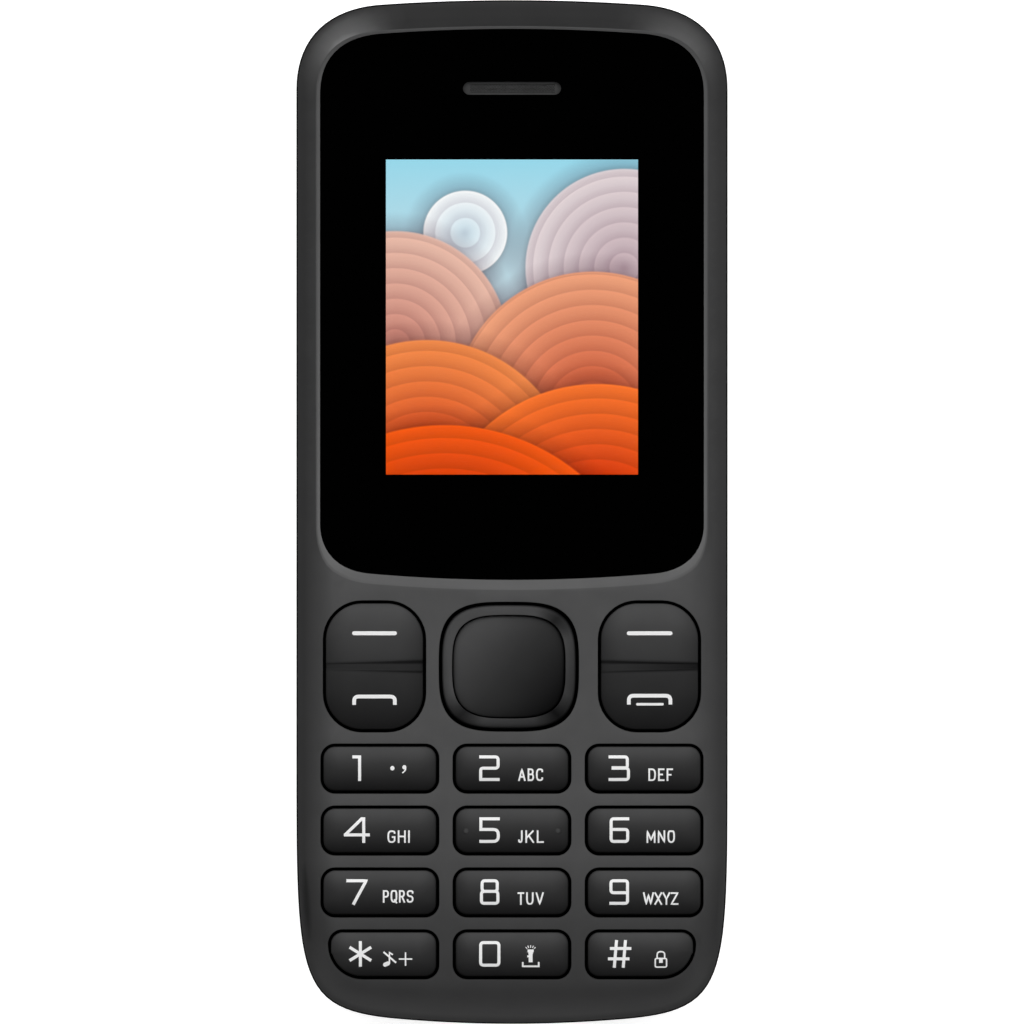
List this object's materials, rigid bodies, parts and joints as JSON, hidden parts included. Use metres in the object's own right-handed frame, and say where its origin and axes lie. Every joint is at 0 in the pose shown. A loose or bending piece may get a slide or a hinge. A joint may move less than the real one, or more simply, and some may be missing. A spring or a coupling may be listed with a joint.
{
  "type": "mobile phone",
  "caption": "Candy-bar mobile phone with a recessed display lens, rocker and navigation keys, number pad and snap-off back cover.",
  "frame": {"origin": "on the flat of the back cover, under the middle of the body", "axes": "+X right side seen from the front, +Y earpiece end, +Z out of the screen"},
  "size_m": [0.048, 0.114, 0.014],
  "materials": {
    "housing_plastic": "satin",
    "rear_plastic": "satin",
    "cover_plastic": "satin",
    "key_plastic": "gloss",
    "lens": "gloss",
    "black_film": "matte",
    "mesh": "satin",
    "lcd_glass": "gloss",
    "white_plastic": "matte",
    "black_plastic": "satin",
    "clear_plastic": "gloss",
    "flex": "satin",
    "silicone": "matte",
    "board": "satin",
    "steel": "satin",
    "heavy_steel": "satin",
    "screw_steel": "satin",
    "contacts": "satin",
    "speaker": "satin",
    "battery_can": "satin"
  },
  "bodies": {
    "phone": {"front_housing": "housing_plastic", "display_lens": "lens", "lens_tape": "black_film", "earpiece_mesh": "mesh", "earpiece_receiver": "steel", "lcd_panel": "lcd_glass", "lcd_backlight": "white_plastic", "lcd_flex": "flex", "keypad_mat": "silicone", "dome_sheet": "steel", "main_board": "board", "shield_can_radio": "steel", "shield_can_logic": "steel", "usb_socket": "steel", "headphone_jack": "black_plastic", "sim_holder_left": "steel", "sim_holder_right": "steel", "memory_card_holder": "steel", "battery_contacts": "contacts", "loudspeaker": "speaker", "vibration_motor": "steel", "microphone": "steel", "torch_led": "white_plastic", "torch_lens": "clear_plastic", "antenna": "contacts", "rear_housing": "rear_plastic", "battery": "battery_can", "housing_screw_1": "screw_steel", "housing_screw_2": "screw_steel", "housing_screw_3": "screw_steel", "housing_screw_4": "screw_steel"},
    "key_1": {"key_1": "key_plastic"},
    "key_2": {"key_2": "key_plastic"},
    "key_3": {"key_3": "key_plastic"},
    "key_4": {"key_4": "key_plastic"},
    "key_5": {"key_5": "key_plastic"},
    "key_6": {"key_6": "key_plastic"},
    "key_7": {"key_7": "key_plastic"},
    "key_8": {"key_8": "key_plastic"},
    "key_9": {"key_9": "key_plastic"},
    "key_star": {"key_star": "key_plastic"},
    "key_0": {"key_0": "key_plastic"},
    "key_hash": {"key_hash": "key_plastic"},
    "rocker_left": {"rocker_left": "key_plastic"},
    "rocker_right": {"rocker_right": "key_plastic"},
    "nav_pad": {"nav_pad": "silicone"},
    "nav_ring": {"nav_ring": "key_plastic"},
    "ok_key": {"ok_key": "key_plastic"},
    "battery_cover": {"battery_cover": "cover_plastic"},
    "motor_weight": {"motor_weight": "heavy_steel"}
  },
  "joints": [
    {"name": "key_1_press", "type": "slide", "parent": "phone", "child": "key_1", "axis": [0, 0, 1], "range_m": [-0.0003, 0], "stiffness_N_per_m": 2000, "deforming": ["keypad_mat", "dome_sheet"]},
    {"name": "key_2_press", "type": "slide", "parent": "phone", "child": "key_2", "axis": [0, 0, 1], "range_m": [-0.0003, 0], "stiffness_N_per_m": 2000, "deforming": ["keypad_mat", "dome_sheet"]},
    {"name": "key_3_press", "type": "slide", "parent": "phone", "child": "key_3", "axis": [0, 0, 1], "range_m": [-0.0003, 0], "stiffness_N_per_m": 2000, "deforming": ["keypad_mat", "dome_sheet"]},
    {"name": "key_4_press", "type": "slide", "parent": "phone", "child": "key_4", "axis": [0, 0, 1], "range_m": [-0.0003, 0], "stiffness_N_per_m": 2000, "deforming": ["keypad_mat", "dome_sheet"]},
    {"name": "key_5_press", "type": "slide", "parent": "phone", "child": "key_5", "axis": [0, 0, 1], "range_m": [-0.0003, 0], "stiffness_N_per_m": 2000, "deforming": ["keypad_mat", "dome_sheet"]},
    {"name": "key_6_press", "type": "slide", "parent": "phone", "child": "key_6", "axis": [0, 0, 1], "range_m": [-0.0003, 0], "stiffness_N_per_m": 2000, "deforming": ["keypad_mat", "dome_sheet"]},
    {"name": "key_7_press", "type": "slide", "parent": "phone", "child": "key_7", "axis": [0, 0, 1], "range_m": [-0.0003, 0], "stiffness_N_per_m": 2000, "deforming": ["keypad_mat", "dome_sheet"]},
    {"name": "key_8_press", "type": "slide", "parent": "phone", "child": "key_8", "axis": [0, 0, 1], "range_m": [-0.0003, 0], "stiffness_N_per_m": 2000, "deforming": ["keypad_mat", "dome_sheet"]},
    {"name": "key_9_press", "type": "slide", "parent": "phone", "child": "key_9", "axis": [0, 0, 1], "range_m": [-0.0003, 0], "stiffness_N_per_m": 2000, "deforming": ["keypad_mat", "dome_sheet"]},
    {"name": "key_star_press", "type": "slide", "parent": "phone", "child": "key_star", "axis": [0, 0, 1], "range_m": [-0.0003, 0], "stiffness_N_per_m": 2000, "deforming": ["keypad_mat", "dome_sheet"]},
    {"name": "key_0_press", "type": "slide", "parent": "phone", "child": "key_0", "axis": [0, 0, 1], "range_m": [-0.0003, 0], "stiffness_N_per_m": 2000, "deforming": ["keypad_mat", "dome_sheet"]},
    {"name": "key_hash_press", "type": "slide", "parent": "phone", "child": "key_hash", "axis": [0, 0, 1], "range_m": [-0.0003, 0], "stiffness_N_per_m": 2000, "deforming": ["keypad_mat", "dome_sheet"]},
    {"name": "rocker_left_rock", "type": "hinge", "parent": "phone", "child": "rocker_left", "pos_m": [-0.0153, -0.01718, 0.01], "axis": [1, 0, 0], "range_deg": [-2.5, 2.5], "stiffness_Nm_per_rad": 0.12, "deforming": ["keypad_mat", "dome_sheet"]},
    {"name": "rocker_right_rock", "type": "hinge", "parent": "phone", "child": "rocker_right", "pos_m": [0.0153, -0.01718, 0.01], "axis": [1, 0, 0], "range_deg": [-2.5, 2.5], "stiffness_Nm_per_rad": 0.12, "deforming": ["keypad_mat", "dome_sheet"]},
    {"name": "nav_tilt_up_down", "type": "hinge", "parent": "phone", "child": "nav_pad", "pos_m": [-0.00035, -0.01722, 0.0099], "axis": [1, 0, 0], "range_deg": [-2, 2], "stiffness_Nm_per_rad": 0.15, "deforming": ["keypad_mat", "dome_sheet"]},
    {"name": "nav_tilt_left_right", "type": "hinge", "parent": "nav_pad", "child": "nav_ring", "pos_m": [-0.00035, -0.01722, 0.0099], "axis": [0, 1, 0], "range_deg": [-2, 2], "stiffness_Nm_per_rad": 0.15, "deforming": ["keypad_mat", "dome_sheet"]},
    {"name": "ok_key_press", "type": "slide", "parent": "nav_ring", "child": "ok_key", "axis": [0, 0, 1], "range_m": [-0.0003, 0], "stiffness_N_per_m": 2000, "deforming": ["keypad_mat", "dome_sheet"]},
    {"name": "battery_cover_off", "type": "slide", "parent": "phone", "child": "battery_cover", "axis": [0, 0, -1], "range_m": [0, 0.02]},
    {"name": "motor_weight_spin", "type": "hinge", "parent": "phone", "child": "motor_weight", "pos_m": [0, 0.0444, 0.0047], "axis": [1, 0, 0], "continuous": true}
  ]
}
